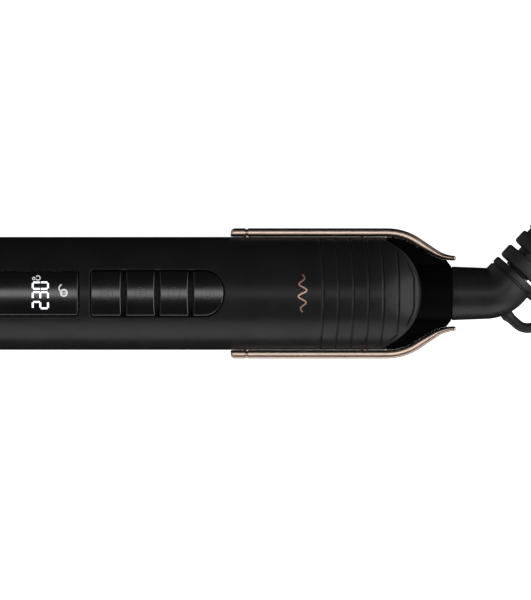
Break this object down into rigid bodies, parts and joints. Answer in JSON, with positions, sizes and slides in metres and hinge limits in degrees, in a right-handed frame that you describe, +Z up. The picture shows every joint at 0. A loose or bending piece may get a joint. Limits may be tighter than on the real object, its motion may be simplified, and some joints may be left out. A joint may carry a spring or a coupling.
{
  "type": "curling iron",
  "caption": "Curling iron with a round handle, display, buttons, side rails, sprung clamp, cool tip, folding stand and swivelling cord elbow.",
  "frame": {"origin": "on the flat underside of the handle, on its centre line, 82 mm behind the handle's front end", "axes": "+X along the handle's axis towards the cord, +Z up, out of the display, +Y to the left when looking along +X"},
  "size_m": [0.3996, 0.0622, 0.0628],
  "materials": {
    "soft_touch": "soft-touch black",
    "gloss_black": "piano black",
    "elbow_black": "satin black",
    "black_rubber": "matt",
    "rose_gold": "polished rose-gold plating",
    "barrel_coat": "satin ceramic coating",
    "blade_coat": "satin ceramic coating on steel",
    "steel": "plain",
    "brass": "plain",
    "aluminium": "extruded",
    "ceramic": "unglazed ceramic",
    "board": "green solder mask",
    "component": "moulded",
    "lead": "silicone insulation"
  },
  "bodies": {
    "handle": {"upper_housing": "soft_touch", "lower_housing": "soft_touch", "tail_cap": "soft_touch", "side_rail_left": "rose_gold", "side_rail_right": "rose_gold", "housing_screw_1": "steel", "housing_screw_2": "steel", "housing_screw_3": "steel", "display_lens": "gloss_black", "display_module": "component", "button_carrier": "component", "ion_switch": "component", "plus_switch": "component", "minus_switch": "component", "power_switch": "component", "control_board": "board", "power_module": "component", "ion_generator": "ceramic", "thermal_fuse": "steel", "heater_lead_live": "lead", "heater_lead_neutral": "lead", "supply_lead_live": "lead", "supply_lead_neutral": "lead", "brush_live": "brass", "brush_neutral": "brass", "brush_holder": "component", "trim_ring": "rose_gold", "barrel_collar": "soft_touch", "heat_shield": "ceramic", "barrel": "barrel_coat", "heater_carrier_upper": "aluminium", "heater_carrier_lower": "aluminium", "ptc_heater": "ceramic", "thermistor": "ceramic", "tip_ring": "rose_gold", "tip_cap": "soft_touch", "clamp_bracket": "steel", "bracket_screw": "steel", "clamp_pin": "steel", "clamp_spring": "steel"},
    "clamp": {"clamp_blade": "blade_coat", "clamp_lever": "steel", "clamp_rivet_1": "steel", "clamp_rivet_2": "steel", "thumb_pad": "soft_touch"},
    "stand": {"stand": "steel"},
    "swivel": {"swivel_elbow": "elbow_black", "swivel_retainer": "steel", "slip_ring_live": "brass", "slip_ring_neutral": "brass", "strain_relief": "black_rubber", "hanging_loop": "black_rubber"},
    "ion_key": {"ion_button": "gloss_black"},
    "plus_key": {"plus_button": "gloss_black"},
    "minus_key": {"minus_button": "gloss_black"},
    "power_key": {"power_button": "gloss_black"}
  },
  "joints": [
    {"name": "clamp_hinge", "type": "hinge", "parent": "handle", "child": "clamp", "pos_m": [-0.1062, 0, 0.042], "axis": [0, 1, 0], "range_deg": [0, 25], "stiffness_Nm_per_rad": 0.12, "springref_deg": -28.65},
    {"name": "stand_hinge", "type": "hinge", "parent": "handle", "child": "stand", "pos_m": [-0.1002, 0, 0.014], "axis": [0, -1, 0], "range_deg": [0, 82]},
    {"name": "cord_swivel", "type": "hinge", "parent": "handle", "child": "swivel", "pos_m": [0.09, 0, 0.018], "axis": [1, 0, 0], "continuous": true},
    {"name": "ion_press", "type": "slide", "parent": "handle", "child": "ion_key", "axis": [0, 0, -1], "range_m": [0, 0.0004], "stiffness_N_per_m": 800},
    {"name": "plus_press", "type": "slide", "parent": "handle", "child": "plus_key", "axis": [0, 0, -1], "range_m": [0, 0.0004], "stiffness_N_per_m": 800},
    {"name": "minus_press", "type": "slide", "parent": "handle", "child": "minus_key", "axis": [0, 0, -1], "range_m": [0, 0.0004], "stiffness_N_per_m": 800},
    {"name": "power_press", "type": "slide", "parent": "handle", "child": "power_key", "axis": [0, 0, -1], "range_m": [0, 0.0004], "stiffness_N_per_m": 800}
  ]
}
